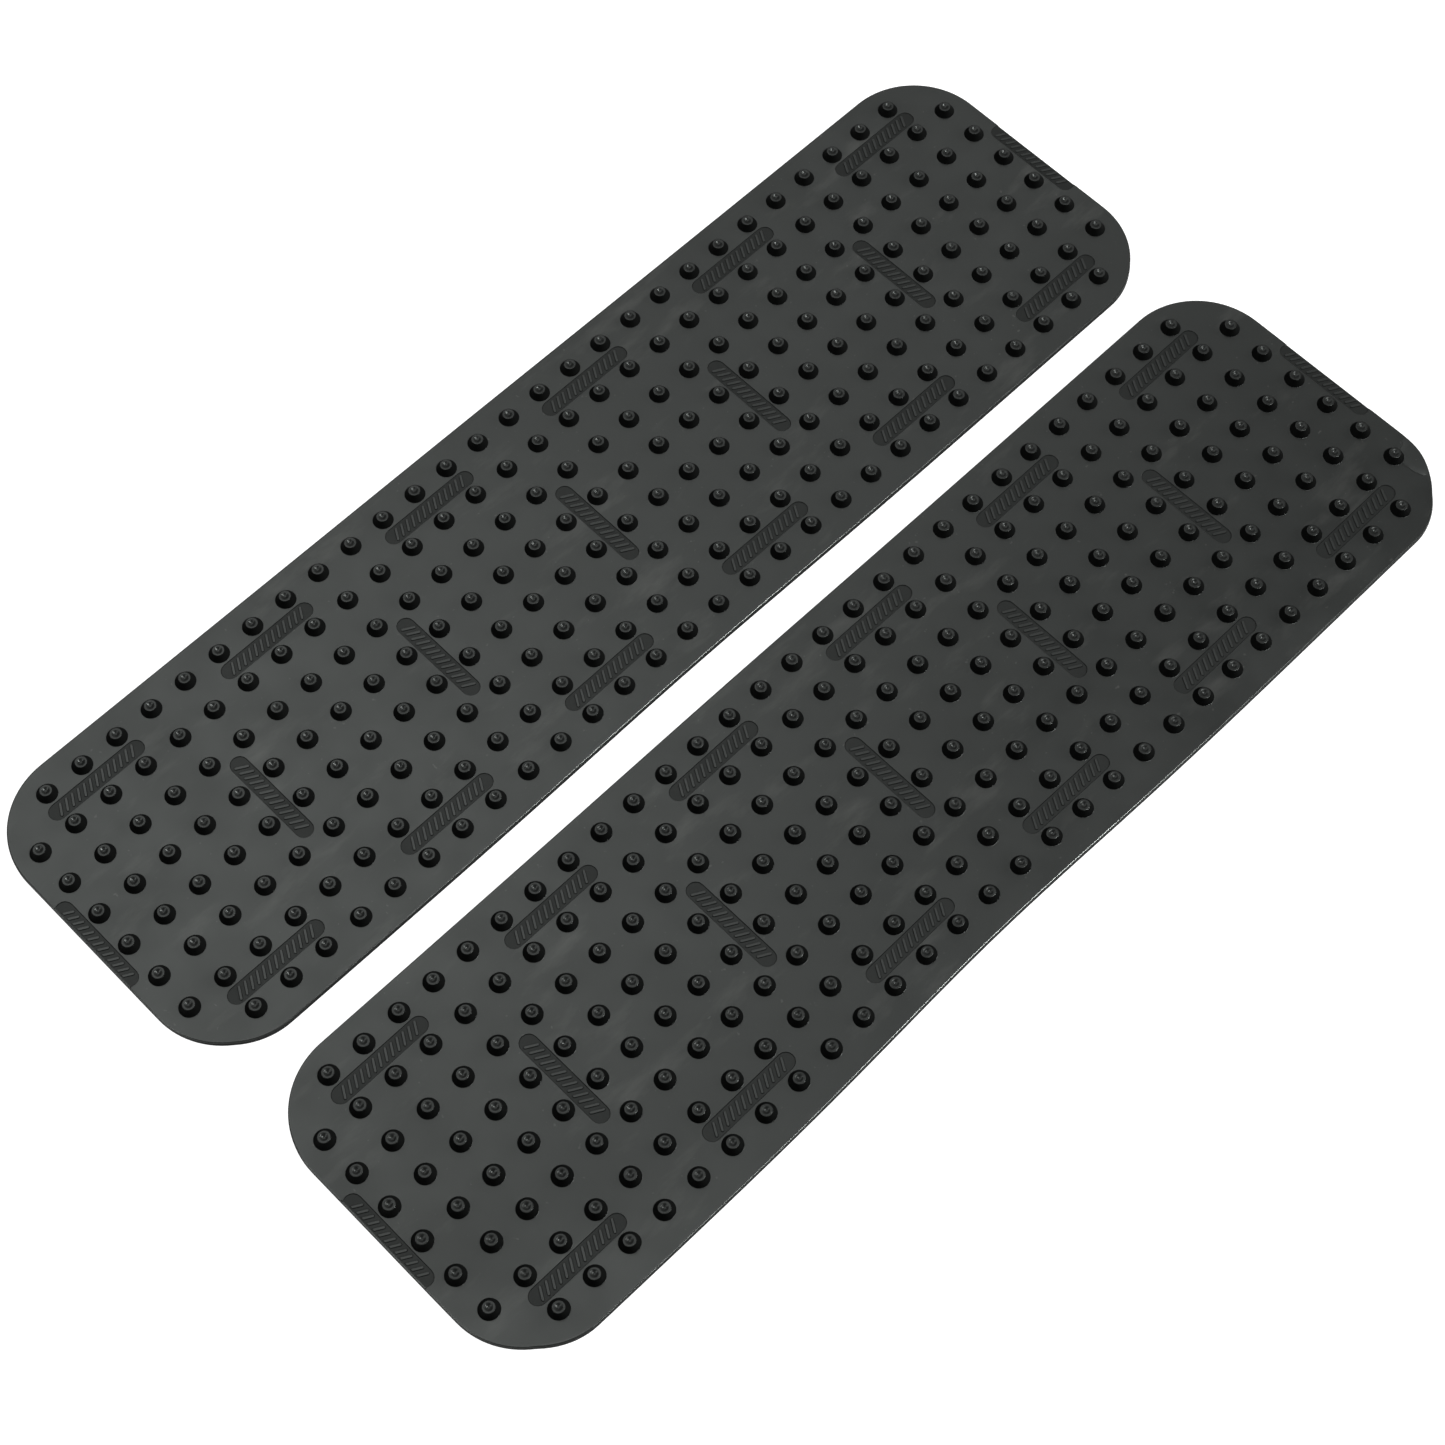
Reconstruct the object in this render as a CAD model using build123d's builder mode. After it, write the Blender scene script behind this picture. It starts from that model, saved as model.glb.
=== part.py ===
"""A pair of flexible tire traction mats: two studded rubber mouldings, laid side by side.

Millimetres, +Z up. X runs along the mats, and Y across them. The origin is at the centre of the
pair's footprint, on the ground under the mats.
"""

import os

from build123d import *

# Grid of studs on each mat. The four corner places are left empty.
stud_columns = 30
stud_rows = 8
stud_pitch_x = 20.0
stud_pitch_y = 20.4

# Sheet
edge_margin_x = 13.0  # from the outer studs' centres to the ends
edge_margin_y = 13.6  # from the outer studs' centres to the long edges
sheet_thickness = 3.2
corner_radius = 40.0
top_edge_radius = 0.8
bottom_edge_chamfer = 0.3

# Stud: a low cone on a small foot, with a rounded rim and a round dimple in its top
stud_base_radius = 4.9
stud_top_radius = 3.0
stud_height = 3.6
stud_foot = 0.4  # height and width of the bevel between the sheet and the cone
stud_root = 0.8  # how far the stud's solid reaches down into the sheet
stud_rim_radius = 0.3
dimple_radius = 1.8
dimple_depth = 0.9

# Moulded grip panels: shallow recesses with slanted bars left standing in them
panel_length = 53.0
panel_width = 8.8
panel_depth = 0.4
panel_pitch = 100.0  # along the mat, in every row of panels
side_panels = 6  # along each long edge
middle_panels = 7  # across the middle, the two outer ones cut by the ends
bars_per_panel = 13
bar_pitch = 3.4
bar_width = 1.3
bar_length = 7.0
bar_lean = 30.0  # degrees from square to the panel

# Where the two loose mats lie
gap_between_mats = 17.4
stagger = 2.2  # how far the right mat lies ahead of the left one, along X

mat_length = (stud_columns - 1) * stud_pitch_x + 2 * edge_margin_x
mat_width = (stud_rows - 1) * stud_pitch_y + 2 * edge_margin_y
mat_spacing = mat_width + gap_between_mats


def stud_places():
    """Where the studs stand on a mat that is centred on the origin."""
    places = []
    for column in range(stud_columns):
        for row in range(stud_rows):
            at_an_end = column in (0, stud_columns - 1)
            at_a_side = row in (0, stud_rows - 1)
            if at_an_end and at_a_side:
                continue
            x = (column - (stud_columns - 1) / 2) * stud_pitch_x
            y = (row - (stud_rows - 1) / 2) * stud_pitch_y
            places.append((x, y, sheet_thickness))
    return places


def panel_places():
    """Centres and angles of the panels: a row beside each long edge, and one across the middle."""
    side_row = (stud_rows / 2 - 1) * stud_pitch_y
    places = []
    for step in range(side_panels):
        x = (step - (side_panels - 1) / 2) * panel_pitch
        places.append(Location((x, side_row), 0))
        places.append(Location((x, -side_row), 0))
    for step in range(middle_panels):
        x = (step - (middle_panels - 1) / 2) * panel_pitch
        places.append(Location((x, 0), 90))
    return places


# One stud, with the sheet's top at Z = 0
with BuildPart() as stud:
    with BuildSketch(Plane.XZ):
        with BuildLine():
            Polyline(
                (0, -stud_root),
                (stud_base_radius + stud_foot, -stud_root),
                (stud_base_radius + stud_foot, 0),
                (stud_base_radius, stud_foot),
                (stud_top_radius, stud_height),
                (0, stud_height),
                close=True,
            )
        make_face()
    revolve(axis=Axis.Z)
    dimple_sphere = (dimple_radius**2 + dimple_depth**2) / (2 * dimple_depth)
    with Locations((0, 0, stud_height - dimple_depth + dimple_sphere)):
        Sphere(dimple_sphere, mode=Mode.SUBTRACT)
    stud_top = stud.faces().filter_by(GeomType.PLANE).sort_by(Axis.Z)[-1]
    fillet(stud_top.edges(), radius=stud_rim_radius)

# One grip panel, flat, along X: the recess without its bars
with BuildSketch() as panel:
    SlotOverall(panel_length, panel_width)
    with GridLocations(bar_pitch, 0, bars_per_panel, 1):
        Rectangle(bar_width, bar_length, rotation=-bar_lean, mode=Mode.SUBTRACT)

# One whole mat, centred on the origin
with BuildPart() as mat:
    with BuildSketch():
        RectangleRounded(mat_length, mat_width, corner_radius)
    extrude(amount=sheet_thickness)
    fillet(mat.edges().group_by(Axis.Z)[-1], radius=top_edge_radius)
    chamfer(mat.edges().group_by(Axis.Z)[0], length=bottom_edge_chamfer)
    with BuildSketch(Plane.XY.offset(sheet_thickness)):
        with Locations(*panel_places()):
            add(panel.sketch)
    extrude(amount=-panel_depth, mode=Mode.SUBTRACT)
    with Locations(*stud_places()):
        add(stud.part)

with BuildPart() as left_mat:
    with Locations((-stagger / 2, mat_spacing / 2, 0)):
        add(mat.part)

with BuildPart() as right_mat:
    with Locations((stagger / 2, -mat_spacing / 2, 0)):
        add(mat.part)

os.makedirs("parts", exist_ok=True)
left_mat.part.label = "left_mat"
right_mat.part.label = "right_mat"
for piece in (left_mat.part, right_mat.part):
    export_step(piece, f"parts/{piece.label}.step")
    print(piece.label, piece.bounding_box().size, round(piece.volume), "mm3")
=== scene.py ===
"""Looks for a pair of tire traction mats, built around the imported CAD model.

Each mat is a single rubber moulding, so it gets a single closed mesh that stands for its CAD node: a sheet
with a rounded rim, dimpled studs, and sunken grip panels with slanted bars. The mesh is worked out in
millimetres about the mat's own centre, then laid in its place in the row frame, in metres.
"""

import math

import bpy
import numpy as np
from mathutils import Matrix, Vector
from mathutils.geometry import delaunay_2d_cdt


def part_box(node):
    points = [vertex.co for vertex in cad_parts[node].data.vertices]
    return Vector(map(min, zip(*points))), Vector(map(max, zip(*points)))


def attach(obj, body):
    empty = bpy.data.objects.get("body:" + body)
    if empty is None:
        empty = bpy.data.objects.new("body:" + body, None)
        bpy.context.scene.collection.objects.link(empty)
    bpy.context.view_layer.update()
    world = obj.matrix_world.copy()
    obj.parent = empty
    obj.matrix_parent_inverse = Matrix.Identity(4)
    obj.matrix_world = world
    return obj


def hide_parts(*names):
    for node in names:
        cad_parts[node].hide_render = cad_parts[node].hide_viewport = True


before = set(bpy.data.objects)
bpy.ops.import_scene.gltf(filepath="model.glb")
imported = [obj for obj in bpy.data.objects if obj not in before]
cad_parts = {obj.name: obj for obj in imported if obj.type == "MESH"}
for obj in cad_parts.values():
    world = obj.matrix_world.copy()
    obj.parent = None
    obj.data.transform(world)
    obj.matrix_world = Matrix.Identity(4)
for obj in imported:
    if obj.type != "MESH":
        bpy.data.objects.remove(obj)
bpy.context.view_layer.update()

MM = 0.001

# The mat's size comes from its CAD node
low_corner, high_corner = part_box("left_mat")
MAT_LENGTH = (high_corner.x - low_corner.x) / MM
MAT_WIDTH = (high_corner.y - low_corner.y) / MM
MAT_HEIGHT = (high_corner.z - low_corner.z) / MM

# These repeat the CAD model's driving sizes, in millimetres
STUD_COLUMNS = 30
STUD_ROWS = 8
STUD_PITCH_X = 20.0
STUD_PITCH_Y = 20.4
STUD_HEIGHT = 3.6
STUD_BASE_RADIUS = 4.9
DIMPLE_DEPTH = 0.9
CORNER_RADIUS = 40.0
TOP_EDGE_RADIUS = 0.8
BOTTOM_CHAMFER = 0.3
PANEL_LENGTH = 53.0
PANEL_WIDTH = 8.8
PANEL_DEPTH = 0.4
PANEL_PITCH = 100.0
SIDE_PANELS = 6
MIDDLE_PANELS = 7
BARS_PER_PANEL = 13
BAR_PITCH = 3.4
BAR_WIDTH = 1.3
BAR_LENGTH = 7.0
BAR_LEAN = 30.0

SHEET_TOP = MAT_HEIGHT - STUD_HEIGHT

# These differ a little from the CAD model's, or aren't in it
STUD_TOP_RADIUS = 2.9
STUD_FOOT = 0.16
STUD_RIM_RADIUS = 0.5
DIMPLE_RADIUS = 1.7
DIMPLE_LIP = 0.2
WALL_RUN = 0.3  # how wide the slope is between a panel's floor and the sheet, or a bar's top

# How finely the mesh is divided
STUD_SIDES = 28
STUD_RIM_SHARES = (1, 0.7, 0.4, 0)  # of the stud's rounded rim, from the cone up to the flat top
DIMPLE_RINGS = (DIMPLE_RADIUS - DIMPLE_LIP / 2, 1.1, 0.5)
CORNER_STEPS = 24
EDGE_ROUND_STEPS = 4
RIM_STEP = 9.0
PANEL_END_STEPS = 8
BAR_END_STEPS = 4
WELD = 0.004

# How clear the loose points between the outlines stay of a stud's foot, and of the mat's edge
STUD_CLEARANCE = 1.5
TOP_CLEARANCE = 5.0
CREASE_CLEARANCE = 2.0
UNDERSIDE_CLEARANCE = 12.0

# The order of the mesh's material slots
SHEET, FLANK, CROWN, PANEL, BAR, RIM, SIDE, UNDERSIDE = range(8)


# ---------------------------------------------------------------- the mat's plan


def ramp(value, start, end):
    """0 at start, 1 at end, and straight between them."""
    return min(1.0, max(0.0, (value - start) / (end - start)))


def outline_at(point):
    """How far a point is outside the mat's outline, negative inside, and the direction away from the mat."""
    beyond = Vector((
        abs(point.x) - MAT_LENGTH / 2 + CORNER_RADIUS,
        abs(point.y) - MAT_WIDTH / 2 + CORNER_RADIUS,
    ))
    if min(beyond) > 0:
        away = beyond.normalized()
    elif beyond.x > beyond.y:
        away = Vector((1, 0))
    else:
        away = Vector((0, 1))
    distance = beyond.dot(away) - CORNER_RADIUS
    return distance, Vector((math.copysign(away.x, point.x), math.copysign(away.y, point.y)))


def outline_loop(inset):
    """Points round the outline, drawn in by inset, counter-clockwise."""
    radius = CORNER_RADIUS - inset
    reach_x = MAT_LENGTH / 2 - CORNER_RADIUS
    reach_y = MAT_WIDTH / 2 - CORNER_RADIUS
    centres = ((reach_x, reach_y), (-reach_x, reach_y), (-reach_x, -reach_y), (reach_x, -reach_y))
    loop = []
    for quarter, centre in enumerate(centres):
        for step in range(CORNER_STEPS + 1):
            angle = (quarter + step / CORNER_STEPS) * math.pi / 2
            loop.append(Vector(centre) + radius * Vector((math.cos(angle), math.sin(angle))))
    return divided(loop)


def divided(loop):
    """The same loop with points added along its long straight stretches."""
    result = []
    for here, after in zip(loop, loop[1:] + loop[:1]):
        pieces = max(1, round((after - here).length / RIM_STEP))
        result += [here.lerp(after, piece / pieces) for piece in range(pieces)]
    return result


def stud_places():
    """Centres of the studs. The four corner places are empty."""
    places = []
    for column in range(STUD_COLUMNS):
        for row in range(STUD_ROWS):
            if column in (0, STUD_COLUMNS - 1) and row in (0, STUD_ROWS - 1):
                continue
            x = (column - (STUD_COLUMNS - 1) / 2) * STUD_PITCH_X
            y = (row - (STUD_ROWS - 1) / 2) * STUD_PITCH_Y
            places.append(Vector((x, y)))
    return places


def stud_centre_near(point):
    """The place on the studs' grid that is nearest to a point."""
    column = round(point.x / STUD_PITCH_X + (STUD_COLUMNS - 1) / 2)
    row = round(point.y / STUD_PITCH_Y + (STUD_ROWS - 1) / 2)
    column = min(STUD_COLUMNS - 1, max(0, column))
    row = min(STUD_ROWS - 1, max(0, row))
    return column, row, Vector((
        (column - (STUD_COLUMNS - 1) / 2) * STUD_PITCH_X,
        (row - (STUD_ROWS - 1) / 2) * STUD_PITCH_Y,
    ))


def under_a_stud(point, radius):
    """Whether a point is within radius of a stud's centre."""
    column, row, centre = stud_centre_near(point)
    at_a_corner = column in (0, STUD_COLUMNS - 1) and row in (0, STUD_ROWS - 1)
    return not at_a_corner and (point - centre).length < radius


class Capsule:
    """A round-ended shape on the sheet: all that is within some radius of a short straight line."""

    def __init__(self, centre, angle, half_length):
        self.centre = Vector(centre)
        self.along = Vector((math.cos(angle), math.sin(angle)))
        self.half_length = half_length

    def reach(self, point):
        """How far a point is from the line."""
        offset = point - self.centre
        slide = min(self.half_length, max(-self.half_length, offset.dot(self.along)))
        return (offset - slide * self.along).length

    def loop(self, radius, steps):
        """Points round the line, radius away from it, counter-clockwise."""
        square = Vector((-self.along.y, self.along.x))
        points = []
        for end in (1, -1):
            for step in range(steps + 1):
                turn = math.pi * (step / steps - 0.5)
                forward = self.half_length + radius * math.cos(turn)
                sideways = radius * math.sin(turn)
                points.append(self.centre + end * (forward * self.along + sideways * square))
        return points


def grip_panels():
    """Each panel's capsule with its bars' capsules: a row beside each long edge, and one across the middle."""
    side_row = (STUD_ROWS / 2 - 1) * STUD_PITCH_Y
    places = []
    for step in range(SIDE_PANELS):
        x = (step - (SIDE_PANELS - 1) / 2) * PANEL_PITCH
        places += [((x, side_row), 0.0), ((x, -side_row), 0.0)]
    for step in range(MIDDLE_PANELS):
        places.append((((step - (MIDDLE_PANELS - 1) / 2) * PANEL_PITCH, 0.0), math.pi / 2))
    panels = []
    for centre, angle in places:
        panel = Capsule(centre, angle, (PANEL_LENGTH - PANEL_WIDTH) / 2)
        bars = []
        for step in range(BARS_PER_PANEL):
            shift = (step - (BARS_PER_PANEL - 1) / 2) * BAR_PITCH
            bar_angle = angle + math.radians(90 - BAR_LEAN)
            bars.append(Capsule(panel.centre + shift * panel.along, bar_angle, (BAR_LENGTH - BAR_WIDTH) / 2))
        panels.append((panel, bars))
    return panels


PANELS = grip_panels()
BAR_TOP_RADIUS = BAR_WIDTH / 2 - WALL_RUN / 2
BAR_FOOT_RADIUS = BAR_WIDTH / 2 + WALL_RUN / 2
BARS_END = MAT_LENGTH / 2 - 2 * TOP_EDGE_RADIUS


def panel_state(point):
    """How far down into a panel a point is, from 0 to 1, and how far up one of its bars."""
    for panel, bars in PANELS:
        sunk = ramp(panel.reach(point), PANEL_WIDTH / 2, PANEL_WIDTH / 2 - WALL_RUN)
        if sunk > 0:
            raised = max(ramp(bar.reach(point), BAR_FOOT_RADIUS, BAR_TOP_RADIUS) for bar in bars)
            return sunk, raised * ramp(abs(point.x), BARS_END + WALL_RUN, BARS_END)
    return 0.0, 0.0


def sheet_height(point):
    """Height of the sheet's upper side: lower in the panels, except on their bars."""
    sunk, raised = panel_state(point)
    return SHEET_TOP - PANEL_DEPTH * sunk * (1 - raised)


def sheet_finish(point):
    """The material slot of the sheet's upper side at a point."""
    sunk, raised = panel_state(point)
    if sunk == 0:
        return SHEET
    return BAR if raised == 1 else PANEL


def cut_at_ends(loop, limit):
    """The part of a loop that is less than limit along the mat from its middle, either way."""
    for side in (1, -1):
        kept = []
        for here, after in zip(loop, loop[1:] + loop[:1]):
            inside_here = side * here.x <= limit
            inside_after = side * after.x <= limit
            if inside_here:
                kept.append(here)
            if inside_here != inside_after:
                share = (side * limit - here.x) / (after.x - here.x)
                kept.append(here.lerp(after, share))
        loop = kept
    return loop


# ---------------------------------------------------------------- the mat's mesh


class Surface:
    """Points, faces and each face's material slot, gathered before they become a mesh."""

    def __init__(self):
        self.points = []
        self.faces = []
        self.finishes = []

    def add_points(self, points):
        first = len(self.points)
        self.points += points
        return first

    def add_face(self, corners, finish):
        self.faces.append(corners)
        self.finishes.append(finish)


def triangulate(loops, edges_between, loose):
    """Triangles over closed loops, whose sides they keep, and loose points between them."""
    points = []
    edges = []
    for loop in loops:
        first = len(points)
        points += loop
        edges += [(first + i, first + (i + 1) % len(loop)) for i in range(len(loop))]
    first = len(points)
    points += edges_between
    edges += [(first + i, first + i + 1) for i in range(0, len(edges_between), 2)]
    found, _, triangles, *_ = delaunay_2d_cdt(points + loose, edges, [], 0, 1e-4)
    return found, triangles


def grid_points(step_x, step_y, margin):
    """Points on a grid about the mat's centre, at least margin inside the outline."""
    points = []
    columns = int(MAT_LENGTH / 2 / step_x)
    rows = int(MAT_WIDTH / 2 / step_y)
    for column in range(-columns, columns + 1):
        for row in range(-rows, rows + 1):
            point = Vector((column * step_x, row * step_y))
            if outline_at(point)[0] < -margin:
                points.append(point)
    return points


def circle(centre, radius):
    """The points of one of a stud's rings."""
    turns = [2 * math.pi * side / STUD_SIDES for side in range(STUD_SIDES)]
    return [centre + radius * Vector((math.cos(turn), math.sin(turn))) for turn in turns]


def add_sheet_top(surface):
    """Adds the sheet's upper side round the studs, and returns the edges along its outside."""
    foot_radius = STUD_BASE_RADIUS + STUD_FOOT
    loops = [outline_loop(TOP_EDGE_RADIUS)]
    loops += [circle(centre, foot_radius) for centre in stud_places()]
    for panel, bars in PANELS:
        for radius in (PANEL_WIDTH / 2, PANEL_WIDTH / 2 - WALL_RUN):
            loops.append(cut_at_ends(panel.loop(radius, PANEL_END_STEPS), MAT_LENGTH / 2 - TOP_EDGE_RADIUS))
        for bar in bars:
            foot = cut_at_ends(bar.loop(BAR_FOOT_RADIUS, BAR_END_STEPS), BARS_END + WALL_RUN)
            top = cut_at_ends(bar.loop(BAR_TOP_RADIUS, BAR_END_STEPS), BARS_END)
            loops += [shape for shape in (foot, top) if len(shape) > 2]
    loose = [
        point
        for point in grid_points(STUD_PITCH_X / 2, STUD_PITCH_Y / 2, TOP_CLEARANCE) + crease_points()
        if not under_a_stud(point, foot_radius + STUD_CLEARANCE) and panel_state(point)[0] == 0
    ]
    found, triangles = triangulate(loops, [], loose)
    kept = []
    for triangle in triangles:
        middle = sum((found[i] for i in triangle), Vector((0, 0))) / 3
        if not under_a_stud(middle, 0.99 * foot_radius):
            kept.append((triangle, sheet_finish(middle)))
    first = surface.add_points([(p.x, p.y, sheet_height(p)) for p in found])
    for triangle, finish in kept:
        surface.add_face([first + i for i in triangle], finish)
    sides = {(t[i], t[i - 2]) for t, _ in kept for i in range(3)}
    outer = [(a, b) for a, b in sides if (b, a) not in sides and outline_at(found[a])[0] > -foot_radius / 2]
    return [(found[a], found[b]) for a, b in outer]


def rim_profile():
    """Down the rounded upper edge: how far in from the outline, and how far below the sheet's top."""
    profile = []
    for step in range(EDGE_ROUND_STEPS + 1):
        angle = math.radians(90 * step / EDGE_ROUND_STEPS)
        inset = TOP_EDGE_RADIUS * (1 - math.sin(angle))
        profile.append((inset, TOP_EDGE_RADIUS * (1 - math.cos(angle))))
    return profile


def add_rim(surface, edges):
    """Adds the rounded upper edge, the side face and the chamfer, along the given edges."""

    def column(point):
        """The points of the rim's section at one point of the sheet's outside."""
        distance, away = outline_at(point)
        top = sheet_height(point)
        heights = [(inset, top - drop) for inset, drop in rim_profile()]
        heights += [(0.0, BOTTOM_CHAMFER), (BOTTOM_CHAMFER, 0.0)]
        section = []
        for inset, height in heights:
            spot = point + (-inset - distance) * away
            section.append((spot.x, spot.y, height))
        return section

    for before, after in edges:
        section = column(before)
        first = surface.add_points(section + column(after))
        depth = len(section)
        for level in range(depth - 1):
            here = first + level
            finish = RIM if level < EDGE_ROUND_STEPS - 1 else SIDE
            surface.add_face([here + depth, here, here + 1, here + depth + 1], finish)


def add_underside(surface, edges):
    """Adds the flat underside, inside the given edges of the sheet's upper side."""
    ends = []
    for edge in edges:
        for point in edge:
            distance, away = outline_at(point)
            ends.append(point + (-BOTTOM_CHAMFER - distance) * away)
    found, triangles = triangulate([], ends, grid_points(STUD_PITCH_X, STUD_PITCH_Y, UNDERSIDE_CLEARANCE))
    first = surface.add_points([(p.x, p.y, 0.0) for p in found])
    for triangle in triangles:
        surface.add_face([first + i for i in reversed(triangle)], UNDERSIDE)


def stud_profile():
    """Radius, height and the finish below each ring of a stud, from its foot to the middle of its dimple."""
    rings = []
    for angle in (0, 45, 90):
        turn = math.radians(angle)
        radius = STUD_BASE_RADIUS + STUD_FOOT * (1 - math.sin(turn))
        rings.append((radius, STUD_FOOT * (1 - math.cos(turn)), FLANK if angle == 90 else SHEET))
    slope = math.atan2(STUD_HEIGHT - STUD_FOOT, STUD_BASE_RADIUS - STUD_TOP_RADIUS)
    rim_centre = STUD_TOP_RADIUS - STUD_RIM_RADIUS * math.tan(slope / 2)
    for share in STUD_RIM_SHARES:
        radius = rim_centre + STUD_RIM_RADIUS * math.sin(slope * share)
        height = STUD_HEIGHT - STUD_RIM_RADIUS * (1 - math.cos(slope * share))
        rings.append((radius, height, CROWN if share == 0 else FLANK))
    bowl = (DIMPLE_RADIUS**2 + DIMPLE_DEPTH**2) / (2 * DIMPLE_DEPTH)
    bowl_centre = STUD_HEIGHT - DIMPLE_DEPTH + bowl
    rings.append((DIMPLE_RADIUS + DIMPLE_LIP, STUD_HEIGHT, CROWN))
    for radius in DIMPLE_RINGS:
        rings.append((radius, bowl_centre - math.sqrt(bowl**2 - radius**2), CROWN))
    return rings


def add_studs(surface):
    """Adds every stud, from its foot on the sheet up to its dimple."""
    profile = stud_profile()
    for centre in stud_places():
        first = len(surface.points)
        for radius, height, _ in profile:
            surface.add_points([(p.x, p.y, SHEET_TOP + height) for p in circle(centre, radius)])
        middle = surface.add_points([(centre.x, centre.y, SHEET_TOP + STUD_HEIGHT - DIMPLE_DEPTH)])
        for side in range(STUD_SIDES):
            after = (side + 1) % STUD_SIDES
            for level in range(1, len(profile)):
                below = first + (level - 1) * STUD_SIDES
                above = first + level * STUD_SIDES
                surface.add_face([below + side, below + after, above + after, above + side], profile[level][2])
            surface.add_face([above + side, above + after, middle], CROWN)


def mat_surface():
    """One whole mat, flat and true, about its own centre."""
    surface = Surface()
    edges = add_sheet_top(surface)
    add_rim(surface, edges)
    add_underside(surface, edges)
    add_studs(surface)
    return surface


# ---------------------------------------------------------------- how each mat lies

# The small fold across the right mat's far corner, as a circle about a point near its edge
CREASE_CENTRE = Vector((303.5, -61.0))
CREASE_RADIUS = 13.0
CREASE_LIFT = 1.2
CREASE_DEPTH = 0.35
CREASE_WIDTH = 0.8
CREASE_RINGS = (-1, 0, 1, 4, 8)  # in crease widths, inwards
CREASE_STEPS = 36

# The outer strip of a mat that can spread outwards on its own, past the studs' feet
EDGE_STRIP = 8.5

# Where the near edge is drawn in: the middle and the reach along X, and how it fades inwards
PINCH_MIDDLE = -20
PINCH_LENGTH = 90
PINCH_DEPTH = 25
PINCH_LEAST = 0.15

# How far from the near corner its curl begins, and how soon it reaches its stated height
CURL_START = 62
CURL_LENGTH = 40


def crease_points():
    """Extra points along the corner's crease, and just inside it, so that the mesh can bend there."""
    points = []
    for inwards in CREASE_RINGS:
        radius = CREASE_RADIUS - inwards * CREASE_WIDTH
        for step in range(CREASE_STEPS):
            turn = 2 * math.pi * step / CREASE_STEPS
            point = CREASE_CENTRE + radius * Vector((math.cos(turn), math.sin(turn)))
            if outline_at(point)[0] < -CREASE_CLEARANCE:
                points.append(point)
    return points


def laid(points, spread, pinch, curl, crease):
    """The flat mat's points as the loose rubber lies: a little uneven along the near edge, corners lifted.

    spread is how far the near long edge has crept outwards, pinch how far it is drawn in at its middle and
    curl how high the near corner stands. crease is 1 where the far corner has its fold, and 0 where it hasn't.
    """
    x, y, z = points.T
    from_near_edge = y + MAT_WIDTH / 2
    y = y - spread * np.clip(1 - from_near_edge / EDGE_STRIP, 0, 1)
    narrowing = PINCH_LEAST + (1 - PINCH_LEAST) * np.exp(-from_near_edge / PINCH_DEPTH)
    y = y + pinch * narrowing * np.exp(-(((x - PINCH_MIDDLE) / PINCH_LENGTH) ** 2))
    to_corner = (-x / MAT_LENGTH - y / MAT_WIDTH) * MAT_WIDTH
    corner_share = np.clip((to_corner - MAT_WIDTH + CURL_START) / CURL_LENGTH, 0, None)
    z = z + curl * corner_share**2
    from_crease = np.hypot(x - CREASE_CENTRE.x, y - CREASE_CENTRE.y)
    z = z + crease * CREASE_LIFT * np.clip(1 - from_crease / CREASE_RADIUS, 0, None)
    groove = np.clip(1 - np.abs(from_crease - CREASE_RADIUS) / CREASE_WIDTH, 0, None)
    z = z - crease * CREASE_DEPTH * groove * (z > SHEET_TOP - PANEL_DEPTH)
    return np.stack([x, y, z], axis=1)


def make_mat(name, surface, materials, **lie):
    """A mat's own mesh object, in place of its CAD node."""
    low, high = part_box(name)
    centre = np.array([(low.x + high.x) / 2, (low.y + high.y) / 2, low.z])
    points = laid(np.array(surface.points), **lie) * MM + centre
    mesh = bpy.data.meshes.new(name + "_rubber")
    mesh.from_pydata(points.tolist(), [], surface.faces)
    for material in materials:
        mesh.materials.append(material)
    mesh.polygons.foreach_set("material_index", surface.finishes)
    mat = bpy.data.objects.new(name + "_rubber", mesh)
    bpy.context.scene.collection.objects.link(mat)
    weld_and_smooth(mat)
    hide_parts(name)
    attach(mat, name)
    return mat


def weld_and_smooth(mat):
    """Joins the parts of the surface where they meet, and shades it by the size of its faces."""
    weld = mat.modifiers.new("weld", "WELD")
    weld.merge_threshold = WELD * MM
    finish_modifiers(mat)
    mat.data.shade_smooth()
    mat.data.set_sharp_from_angle(angle=math.radians(42))
    normals = mat.modifiers.new("normals", "WEIGHTED_NORMAL")
    normals.keep_sharp = True
    finish_modifiers(mat)


def finish_modifiers(mat):
    """Applies the object's modifiers to its mesh."""
    graph = bpy.context.evaluated_depsgraph_get()
    shaped = bpy.data.meshes.new_from_object(mat.evaluated_get(graph))
    mat.modifiers.clear()
    mat.data = shaped


# ---------------------------------------------------------------- materials

RUBBER_TINT = (0.94, 1.0, 0.965)


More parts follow.
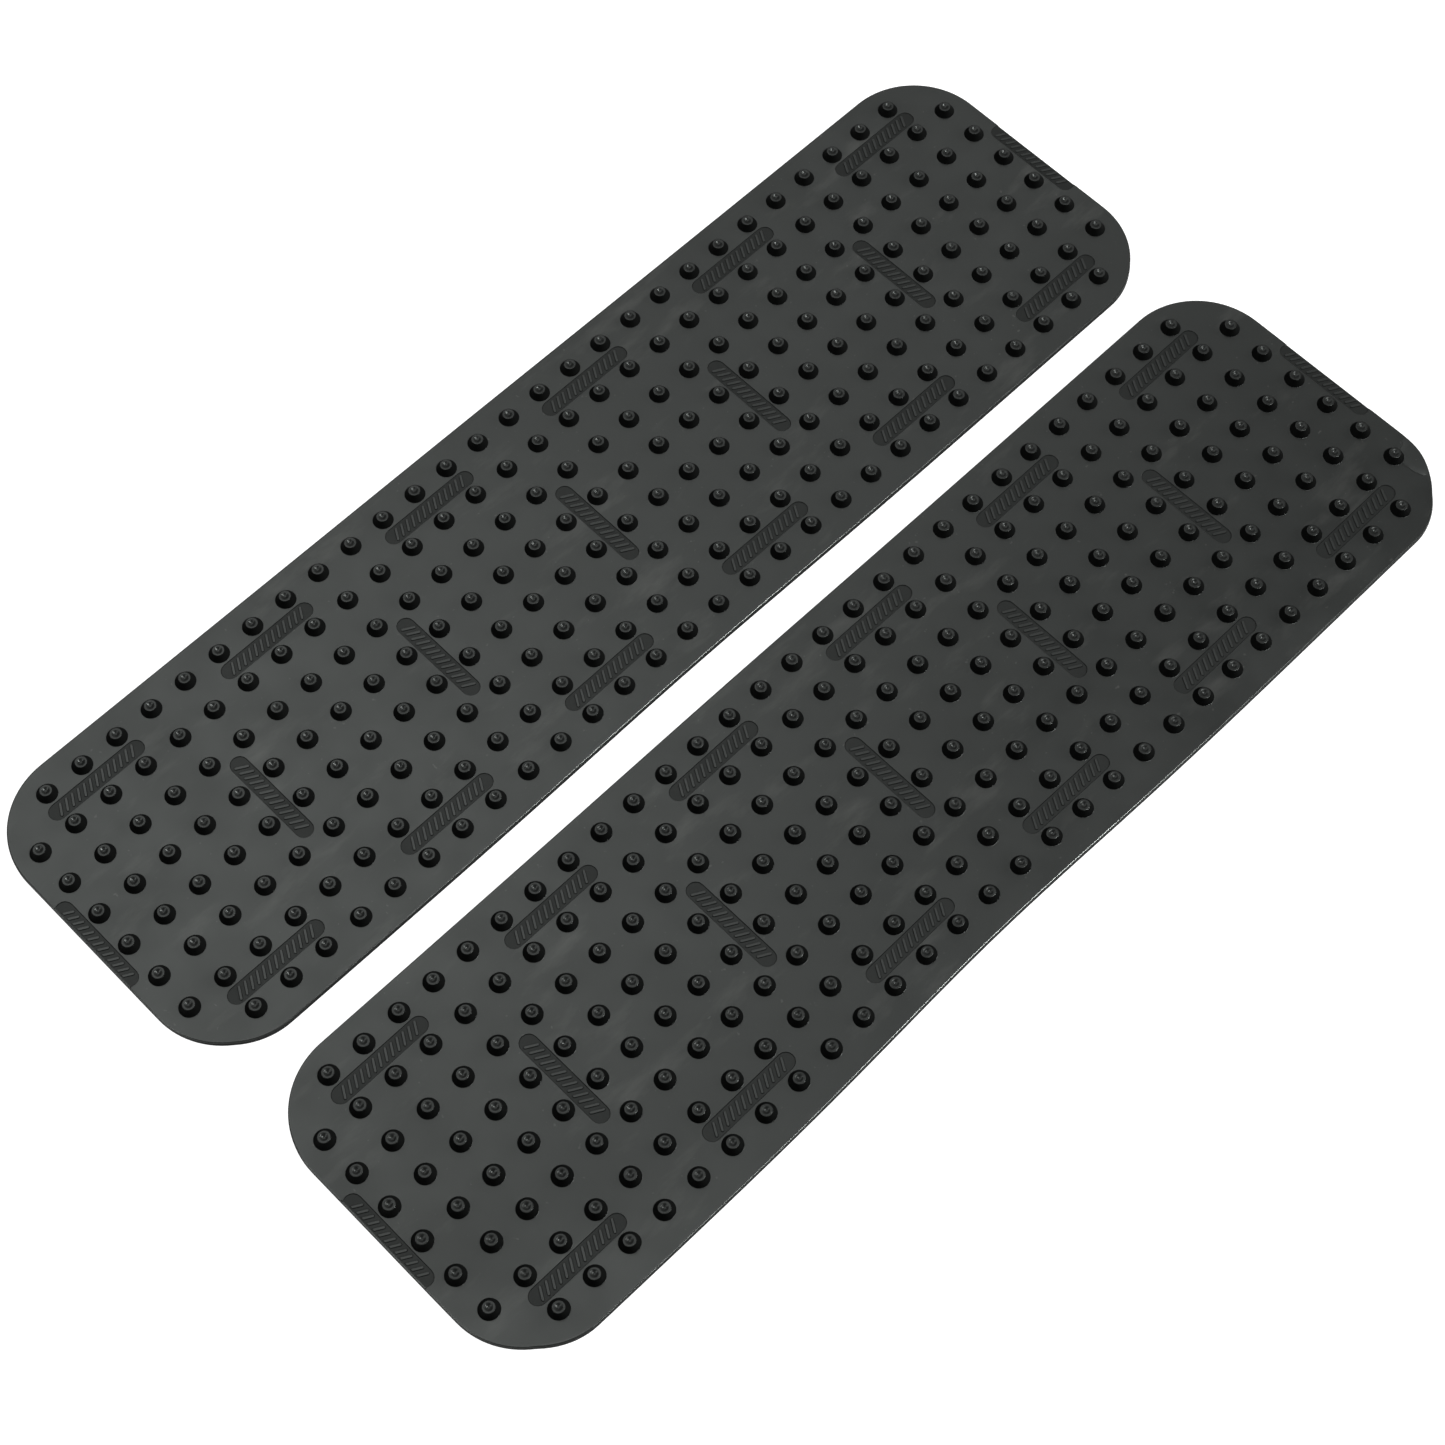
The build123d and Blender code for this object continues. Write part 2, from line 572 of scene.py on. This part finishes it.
class Shader:
    """A material whose node tree is built up one node at a time."""

    def __init__(self, name):
        self.material = bpy.data.materials.new(name)
        self.material.use_nodes = True
        self.tree = self.material.node_tree
        self.surface = self.tree.nodes["Principled BSDF"]
        self.place = self.tree.nodes.new("ShaderNodeTexCoord").outputs["Object"]

    def link(self, source, target):
        self.tree.links.new(source, target)

    def noise(self, scale, detail=3.0, rough=0.55, place=None):
        """A cloudy pattern. scale is how many of its patches fit in a metre."""
        node = self.tree.nodes.new("ShaderNodeTexNoise")
        node.inputs["Scale"].default_value = scale
        node.inputs["Detail"].default_value = detail
        node.inputs["Roughness"].default_value = rough
        self.link(place or self.place, node.inputs["Vector"])
        return node.outputs["Fac"]

    def stretched(self, scale_x, scale_y, turn=0.0):
        """The place, drawn out and turned, for patterns that run one way."""
        node = self.tree.nodes.new("ShaderNodeMapping")
        node.inputs["Scale"].default_value = (scale_x, scale_y, 1)
        node.inputs["Rotation"].default_value = (0, 0, turn)
        self.link(self.place, node.inputs["Vector"])
        return node.outputs["Vector"]

    def span(self, value, start, end, low, high):
        """A value from start to end, turned into one from low to high, and held at those."""
        node = self.tree.nodes.new("ShaderNodeMapRange")
        node.inputs["From Min"].default_value = start
        node.inputs["From Max"].default_value = end
        node.inputs["To Min"].default_value = low
        node.inputs["To Max"].default_value = high
        self.link(value, node.inputs["Value"])
        return node.outputs["Result"]

    def maths(self, operation, first, second):
        """One sum on two values, of which the second may be a plain number."""
        node = self.tree.nodes.new("ShaderNodeMath")
        node.operation = operation
        self.link(first, node.inputs[0])
        if isinstance(second, (int, float)):
            node.inputs[1].default_value = second
        else:
            self.link(second, node.inputs[1])
        return node.outputs["Value"]

    def mixed(self, share, first, second):
        """One colour turning into another as share goes from 0 to 1."""
        node = self.tree.nodes.new("ShaderNodeMix")
        node.data_type = "RGBA"
        self.link(share, node.inputs["Factor"])
        for socket, colour in ((node.inputs["A"], first), (node.inputs["B"], second)):
            if isinstance(colour, tuple):
                socket.default_value = (*colour, 1)
            else:
                self.link(colour, socket)
        return node.outputs["Result"]

    def bumps(self, layers):
        """A bumpy normal from (pattern, depth in millimetres) layers, one on the other."""
        normal = None
        for pattern, depth in layers:
            node = self.tree.nodes.new("ShaderNodeBump")
            node.inputs["Distance"].default_value = depth * MM
            self.link(pattern, node.inputs["Height"])
            if normal is not None:
                self.link(normal, node.inputs["Normal"])
            normal = node.outputs["Normal"]
        self.link(normal, self.surface.inputs["Normal"])


def charcoal(tone, warmth=0.0):
    """A near-black grey of the given brightness. The rubber is a touch green, and warmer where it is worn."""
    red, green, blue = RUBBER_TINT
    return (tone * (red + warmth), tone * green, tone * (blue - warmth))


def rubber(name, tone, spread, roughness, grain):
    """Moulded rubber: cloudy tone, uneven gloss and a fine moulded grain. Returns the shader, to add to it."""
    shader = Shader(name)
    shader.surface.inputs["Specular Tint"].default_value = (*RUBBER_TINT, 1)
    clouds = shader.noise(14, detail=4)
    patches = shader.noise(95, detail=3)
    share = shader.maths("ADD", shader.maths("MULTIPLY", clouds, 0.65), shader.maths("MULTIPLY", patches, 0.35))
    share = shader.span(share, 0.36, 0.64, 0, 1)
    shader.tone = shader.mixed(share, charcoal(tone * (1 - spread)), charcoal(tone * (1 + spread), 0.01))
    shader.link(shader.tone, shader.surface.inputs["Base Color"])
    gloss = shader.span(shader.noise(38, detail=5), 0.3, 0.7, roughness - 0.04, roughness + 0.05)
    shader.link(gloss, shader.surface.inputs["Roughness"])
    shader.bumps([(shader.noise(60, detail=2), 0.05), (shader.noise(1500, detail=2), grain)])
    return shader


def sheet_rubber():
    """The smooth satin of the sheet, with faint chalky smudges and specks of dust."""
    shader = rubber("rubber_sheet", tone=0.006, spread=0.10, roughness=0.40, grain=0.008)
    streaks = shader.noise(34, detail=6, rough=0.62, place=shader.stretched(0.5, 1.6, 0.9))
    smudges = shader.maths("MULTIPLY", shader.span(streaks, 0.56, 0.76, 0, 1), 0.5)
    specks = shader.span(shader.noise(420, detail=1), 0.74, 0.80, 0, 0.5)
    dust = shader.maths("MAXIMUM", smudges, specks)
    chalked = shader.mixed(dust, shader.tone, (0.05, 0.05, 0.047))
    shader.link(chalked, shader.surface.inputs["Base Color"])
    return shader.material


def flank_rubber():
    """The studs' sides: deeper black, with hardly any shine. The deeper black is painted shade: a darker copy
    of the sheet's rubber that stands for the dark surroundings the steep sides reflect.
    """
    # painted shade: about half the sheet's tone, so that the sides stay black
    shader = rubber("rubber_stud_side", tone=0.0031, spread=0.18, roughness=0.50, grain=0.004)
    shader.surface.inputs["Specular IOR Level"].default_value = 0.03
    return shader.material


def crown_rubber():
    """The studs' rings and dimples: a little paler and smoother than the sheet, but less shiny. The paler tone
    is painted light, standing in for the light that the rings' flat tops catch.
    """
    # painted light: a paler tone than the sheet's, to brighten the rings
    shader = rubber("rubber_stud_crown", tone=0.008, spread=0.18, roughness=0.36, grain=0.006)
    shader.surface.inputs["Specular IOR Level"].default_value = 0.30
    return shader.material


def panel_rubber():
    """The floor of the grip panels: darker and coarsely textured, so that it stands out from the sheet."""
    shader = rubber("rubber_panel", tone=0.004, spread=0.25, roughness=0.52, grain=0.04)
    shader.surface.inputs["Specular IOR Level"].default_value = 0.29
    return shader.material


def bar_rubber():
    """The tops of the bars in the grip panels."""
    return rubber("rubber_bar", tone=0.006, spread=0.15, roughness=0.44, grain=0.01).material


def rim_rubber():
    """The rounded upper edge of the sheet: smoother than the sheet, so that it catches a line of light."""
    return rubber("rubber_rim", tone=0.014, spread=0.10, roughness=0.26, grain=0.003).material


def side_rubber():
    """The sheet's side face: dull, where the sheet left the mould."""
    shader = rubber("rubber_side", tone=0.005, spread=0.3, roughness=0.8, grain=0.02)
    shader.surface.inputs["Specular IOR Level"].default_value = 0.1
    return shader.material


def underside_rubber():
    """The underside: plain, with the same coarse grain as the panels."""
    return rubber("rubber_underside", tone=0.014, spread=0.12, roughness=0.66, grain=0.04).material


# ---------------------------------------------------------------- studio

CAMERA_TARGET = Vector((-0.0316, -0.0201, 0.0))
CAMERA_AZIMUTH = math.radians(44.62)
CAMERA_ELEVATION = math.radians(63.62)
CAMERA_ROLL = math.radians(-0.10)
CAMERA_DISTANCE = 1.2837
CAMERA_LENS = 70.8


def make_camera():
    """The camera looks down along +X and +Y, at the angle of the view that the mats were pictured from."""
    level = math.cos(CAMERA_ELEVATION)
    backwards = Vector((
        -level * math.sin(CAMERA_AZIMUTH),
        -level * math.cos(CAMERA_AZIMUTH),
        math.sin(CAMERA_ELEVATION),
    ))
    camera = bpy.data.objects.new("camera", bpy.data.cameras.new("camera"))
    bpy.context.scene.collection.objects.link(camera)
    turn = (-backwards).to_track_quat("-Z", "Y").to_matrix().to_4x4()
    place = Matrix.Translation(CAMERA_TARGET + CAMERA_DISTANCE * backwards)
    camera.matrix_world = place @ turn @ Matrix.Rotation(CAMERA_ROLL, 4, "Z")
    camera.data.lens = CAMERA_LENS
    camera.data.sensor_width = 36.0
    camera.data.clip_end = 50.0
    bpy.context.scene.camera = camera


def softbox(name, place, target, width, height, watts):
    """A soft light of the given width and height at a place, facing a target. Returns its object."""
    lamp = bpy.data.lights.new(name, "AREA")
    lamp.shape = "RECTANGLE"
    lamp.size = width
    lamp.size_y = height
    lamp.energy = watts
    light = bpy.data.objects.new(name, lamp)
    bpy.context.scene.collection.objects.link(light)
    light.location = place
    light.rotation_euler = (Vector(target) - Vector(place)).to_track_quat("-Z", "Y").to_euler()
    return light


def make_floor():
    """A plain white floor under the mats. It glows, so that no shadow shows on it."""
    half = 6.0
    height = -0.0002
    mesh = bpy.data.meshes.new("floor")
    corners = [(-half, -half, height), (half, -half, height), (half, half, height), (-half, half, height)]
    mesh.from_pydata(corners, [], [(0, 1, 2, 3)])
    floor = bpy.data.objects.new("floor", mesh)
    bpy.context.scene.collection.objects.link(floor)
    shader = Shader("floor_white")
    shader.surface.inputs["Base Color"].default_value = (0.3, 0.3, 0.3, 1)
    shader.surface.inputs["Roughness"].default_value = 0.9
    shader.surface.inputs["Specular IOR Level"].default_value = 0.0
    shader.surface.inputs["Emission Color"].default_value = (1, 1, 1, 1)
    shader.surface.inputs["Emission Strength"].default_value = 1.0
    mesh.materials.append(shader.material)


def make_world():
    """White backdrop to look at, but only a fifth of that as light, so that the studs' sides stay dark."""
    world = bpy.data.worlds.new("studio")
    world.use_nodes = True
    background = world.node_tree.nodes["Background"]
    background.inputs["Color"].default_value = (1, 1, 1, 1)
    seen = world.node_tree.nodes.new("ShaderNodeLightPath")
    strength = world.node_tree.nodes.new("ShaderNodeMapRange")
    strength.inputs["To Min"].default_value = 0.2
    strength.inputs["To Max"].default_value = 1.0
    world.node_tree.links.new(seen.outputs["Is Camera Ray"], strength.inputs["Value"])
    world.node_tree.links.new(strength.outputs["Result"], background.inputs["Strength"])
    bpy.context.scene.world = world


def make_lights():
    """Two broad lights overhead for the sheet's sheen, one for its edge, and two for the studs."""
    softbox("ceiling", (-0.10, 0.65, 1.2), (-0.10, 0.65, 0), width=1.0, height=1.0, watts=7.9)
    softbox("far_ceiling", (0.95, 0.72, 1.2), (0.95, 0.72, 0), width=0.8, height=0.74, watts=2.6)
    softbox("edge", (-1.3, 0.4, 0.95), (0, 0, 0), width=0.5, height=0.5, watts=5)
    window = softbox("window", (3.4, -2.3, 1.6), (0, 0, 0), width=3.6, height=2.2, watts=410)
    window.visible_glossy = False  # it lights the studs' sides, with no glare on the sheet
    sparkle = softbox("sparkle", (0.62, -0.95, 1.63), (0, 0, 0), width=0.26, height=0.26, watts=34)
    sparkle.visible_diffuse = False  # it only shows as a glint, in the studs' dimples and along the rim


make_camera()
make_floor()
make_world()
make_lights()
bpy.context.scene.view_settings.view_transform = "Standard"

flat_mat = mat_surface()
finishes = [
    sheet_rubber(), flank_rubber(), crown_rubber(), panel_rubber(), bar_rubber(),
    rim_rubber(), side_rubber(), underside_rubber(),
]
make_mat("left_mat", flat_mat, finishes, spread=1.2, pinch=1.6, curl=0.5, crease=0)
make_mat("right_mat", flat_mat, finishes, spread=2.6, pinch=3.3, curl=3.2, crease=1)
